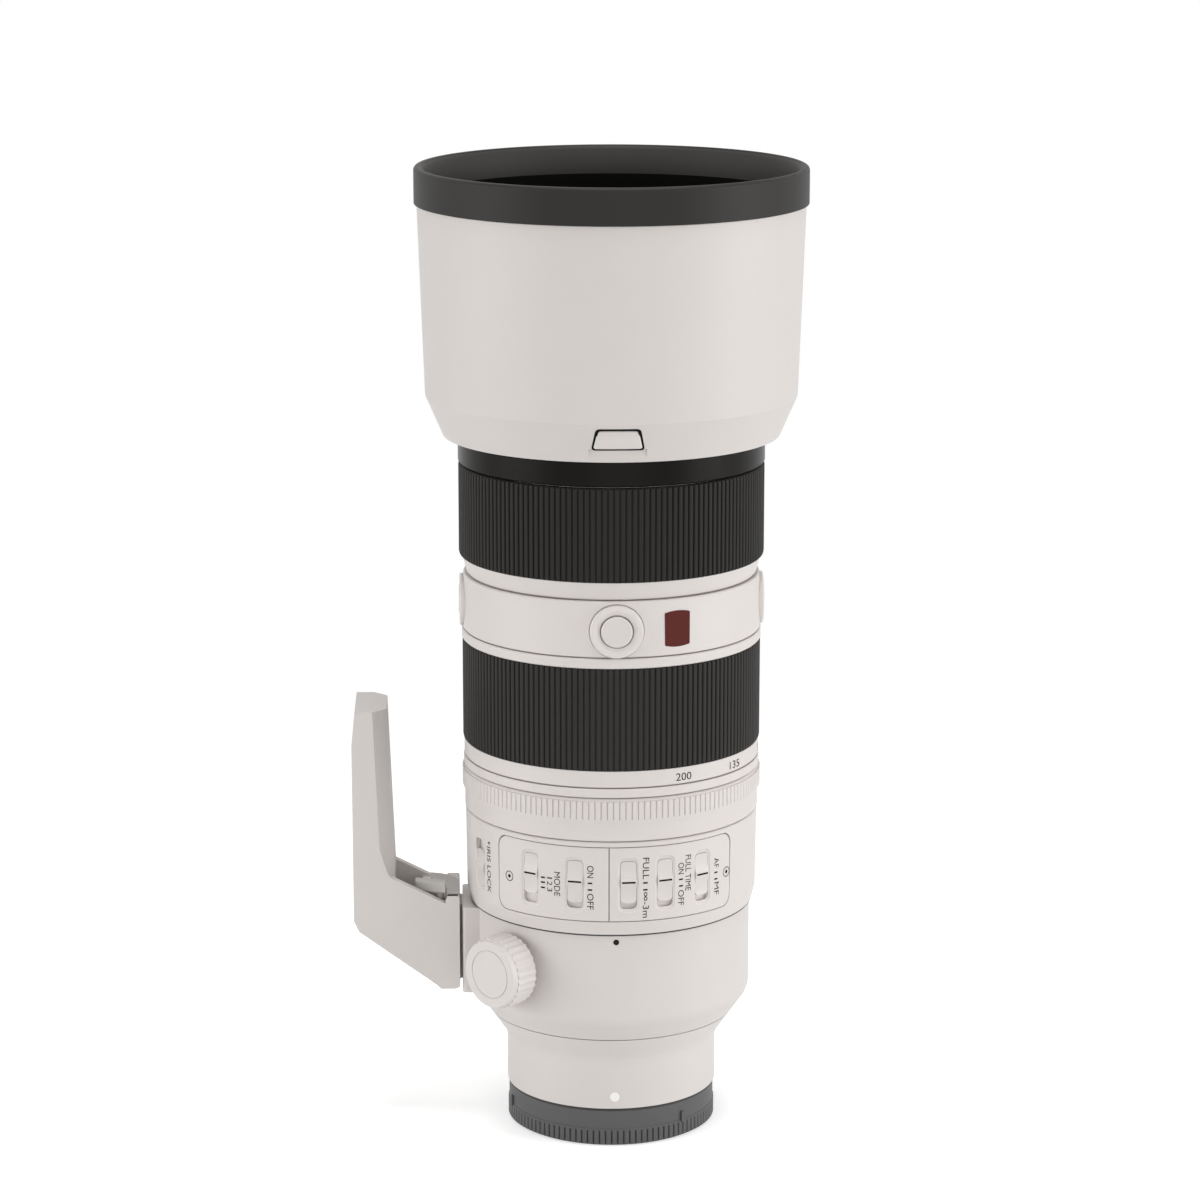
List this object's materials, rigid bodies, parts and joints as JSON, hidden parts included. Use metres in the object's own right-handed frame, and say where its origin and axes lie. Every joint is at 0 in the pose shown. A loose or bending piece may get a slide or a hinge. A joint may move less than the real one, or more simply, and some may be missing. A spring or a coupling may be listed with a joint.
{
  "type": "camera zoom lens",
  "caption": "Telephoto zoom lens standing on its rear cap, with a turning tripod collar and foot, ribbed zoom and focus rings, slide switches and a deep bayonet hood.",
  "frame": {"origin": "on the optical axis, at the underside of the rear cap that the lens stands on", "axes": "+Z along the optical axis towards the hood's mouth; -Y towards the switch panel and the hood's release button; -X towards the tripod foot"},
  "size_m": [0.1314, 0.112, 0.282],
  "materials": {
    "body_paint": "satin",
    "metal_paint": "satin",
    "plate_paint": "satin",
    "slider_plastic": "satin",
    "grip_rubber": "matte",
    "button_rubber": "matte",
    "bezel_paint": "satin",
    "badge_enamel": "gloss",
    "front_black": "gloss",
    "bumper_rubber": "matte",
    "cap_plastic": "matte",
    "seal_rubber": "matte",
    "bead_plastic": "gloss",
    "bright_metal": "brushed",
    "inner_alloy": "anodised black",
    "inner_plastic": "matte",
    "blade_metal": "blackened",
    "lens_glass": "coated"
  },
  "bodies": {
    "barrel": {"mount_bayonet": "bright_metal", "mount_screws": "bright_metal", "contact_block": "inner_plastic", "mount_seal": "seal_rubber", "index_bead": "bead_plastic", "rear_barrel": "body_paint", "rear_cell": "inner_alloy", "rear_glass": "lens_glass", "main_board": "inner_plastic", "main_tube": "inner_alloy", "guide_tube": "inner_alloy", "stabiliser_base": "inner_plastic", "iris_housing": "inner_plastic", "iris_blades": "blade_metal", "focus_rods": "bright_metal", "switch_housing": "body_paint", "switch_plate_left": "plate_paint", "switch_plate_right": "plate_paint", "index_ring": "body_paint", "button_band": "body_paint", "button_bezels": "bezel_paint", "badge_plate": "badge_enamel", "front_ring": "front_black", "front_cell": "inner_alloy", "front_glass": "lens_glass", "front_retainer": "front_black"},
    "zoom_ring": {"zoom_sleeve": "body_paint", "zoom_rubber": "grip_rubber", "cam_tube": "inner_alloy"},
    "variator": {"variator_cell": "inner_alloy", "variator_glass": "lens_glass"},
    "compensator": {"compensator_cell": "inner_alloy", "compensator_glass": "lens_glass"},
    "focus_ring": {"focus_sleeve": "body_paint", "focus_rubber": "grip_rubber"},
    "aperture_ring": {"aperture_ring": "body_paint"},
    "stabiliser_slide": {"stabiliser_slide": "inner_plastic"},
    "stabiliser_carrier": {"stabiliser_cell": "inner_plastic", "stabiliser_glass": "lens_glass"},
    "focus_group": {"focus_cell": "inner_plastic", "focus_glass": "lens_glass"},
    "collar": {"tripod_collar": "metal_paint"},
    "clamp_knob": {"clamp_knob": "body_paint", "clamp_screw": "bright_metal"},
    "foot": {"tripod_foot": "metal_paint", "tripod_bushes": "bright_metal"},
    "foot_lever": {"foot_lever": "metal_paint"},
    "iris_lock_slider": {"iris_lock_slider": "slider_plastic"},
    "mode_slider": {"mode_slider": "slider_plastic"},
    "stabiliser_slider": {"stabiliser_slider": "slider_plastic"},
    "range_slider": {"range_slider": "slider_plastic"},
    "override_slider": {"override_slider": "slider_plastic"},
    "focus_mode_slider": {"focus_mode_slider": "slider_plastic"},
    "hold_button_side": {"hold_button_side": "button_rubber"},
    "hold_button_top": {"hold_button_top": "button_rubber"},
    "hold_button_bottom": {"hold_button_bottom": "button_rubber"},
    "hood": {"hood_shell": "body_paint", "hood_bumper": "bumper_rubber"},
    "hood_button": {"hood_button": "body_paint"},
    "rear_cap": {"rear_cap": "cap_plastic"}
  },
  "joints": [
    {"name": "zoom_turn", "type": "hinge", "parent": "barrel", "child": "zoom_ring", "pos_m": [0, 0, 0.13], "axis": [0, 0, 1], "range_deg": [0, 64]},
    {"name": "variator_travel", "type": "slide", "parent": "barrel", "child": "variator", "axis": [0, 0, -1], "range_m": [0, 0.026]},
    {"name": "compensator_travel", "type": "slide", "parent": "barrel", "child": "compensator", "axis": [0, 0, 1], "range_m": [0, 0.016]},
    {"name": "focus_turn", "type": "hinge", "parent": "barrel", "child": "focus_ring", "pos_m": [0, 0, 0.18], "axis": [0, 0, 1], "continuous": true},
    {"name": "aperture_turn", "type": "hinge", "parent": "barrel", "child": "aperture_ring", "pos_m": [0, 0, 0.102], "axis": [0, 0, 1], "range_deg": [0, 66]},
    {"name": "stabiliser_shift_x", "type": "slide", "parent": "barrel", "child": "stabiliser_slide", "axis": [1, 0, 0], "range_m": [-0.001, 0.001], "stiffness_N_per_m": 60},
    {"name": "stabiliser_shift_y", "type": "slide", "parent": "stabiliser_slide", "child": "stabiliser_carrier", "axis": [0, 1, 0], "range_m": [-0.001, 0.001], "stiffness_N_per_m": 60},
    {"name": "focus_travel", "type": "slide", "parent": "barrel", "child": "focus_group", "axis": [0, 0, 1], "range_m": [0, 0.01]},
    {"name": "collar_turn", "type": "hinge", "parent": "barrel", "child": "collar", "pos_m": [0, 0, 0.051], "axis": [0, 0, 1], "continuous": true},
    {"name": "knob_turn", "type": "hinge", "parent": "collar", "child": "clamp_knob", "pos_m": [0, 0, 0.0546], "axis": [-0.7071, -0.7071, 0], "range_deg": [0, 360]},
    {"name": "foot_slide", "type": "slide", "parent": "collar", "child": "foot", "axis": [0, 0, 1], "range_m": [0, 0.028]},
    {"name": "lever_turn", "type": "hinge", "parent": "foot", "child": "foot_lever", "pos_m": [-0.0504, -0.007, 0.0705], "axis": [0, 0, 1], "range_deg": [-18, 0], "stiffness_Nm_per_rad": 0.01, "springref_deg": 17.19},
    {"name": "iris_lock_travel", "type": "slide", "parent": "barrel", "child": "iris_lock_slider", "axis": [0, 0, 1], "range_m": [0, 0.0032]},
    {"name": "mode_travel", "type": "slide", "parent": "barrel", "child": "mode_slider", "axis": [0, 0, -1], "range_m": [0, 0.0029]},
    {"name": "stabiliser_switch_travel", "type": "slide", "parent": "barrel", "child": "stabiliser_slider", "axis": [0, 0, -1], "range_m": [0, 0.0017]},
    {"name": "range_travel", "type": "slide", "parent": "barrel", "child": "range_slider", "axis": [0, 0, -1], "range_m": [0, 0.0017]},
    {"name": "override_travel", "type": "slide", "parent": "barrel", "child": "override_slider", "axis": [0, 0, -1], "range_m": [0, 0.0017]},
    {"name": "focus_mode_travel", "type": "slide", "parent": "barrel", "child": "focus_mode_slider", "axis": [0, 0, -1], "range_m": [0, 0.0017]},
    {"name": "hold_press_side", "type": "slide", "parent": "barrel", "child": "hold_button_side", "axis": [0, 1, 0], "range_m": [0, 0.0007], "stiffness_N_per_m": 250, "springref_m": -0.0008},
    {"name": "hold_press_top", "type": "slide", "parent": "barrel", "child": "hold_button_top", "axis": [-1, 0, 0], "range_m": [0, 0.0007], "stiffness_N_per_m": 250, "springref_m": -0.0008},
    {"name": "hold_press_bottom", "type": "slide", "parent": "barrel", "child": "hold_button_bottom", "axis": [1, 0, 0], "range_m": [0, 0.0007], "stiffness_N_per_m": 250, "springref_m": -0.0008},
    {"name": "hood_turn", "type": "hinge", "parent": "barrel", "child": "hood", "pos_m": [0, 0, 0.21], "axis": [0, 0, 1], "range_deg": [0, 50]},
    {"name": "hood_release", "type": "slide", "parent": "hood", "child": "hood_button", "axis": [0, 1, 0], "range_m": [0, 0.001], "stiffness_N_per_m": 250, "springref_m": -0.0008},
    {"name": "cap_turn", "type": "hinge", "parent": "barrel", "child": "rear_cap", "pos_m": [0, 0, 0.006], "axis": [0, 0, 1], "range_deg": [0, 55]}
  ],
  "couplings": [
    {"joint": "variator_travel", "follows": "zoom_turn", "m_per_rad": 0.023276},
    {"joint": "compensator_travel", "follows": "zoom_turn", "m_per_rad": 0.014324}
  ]
}
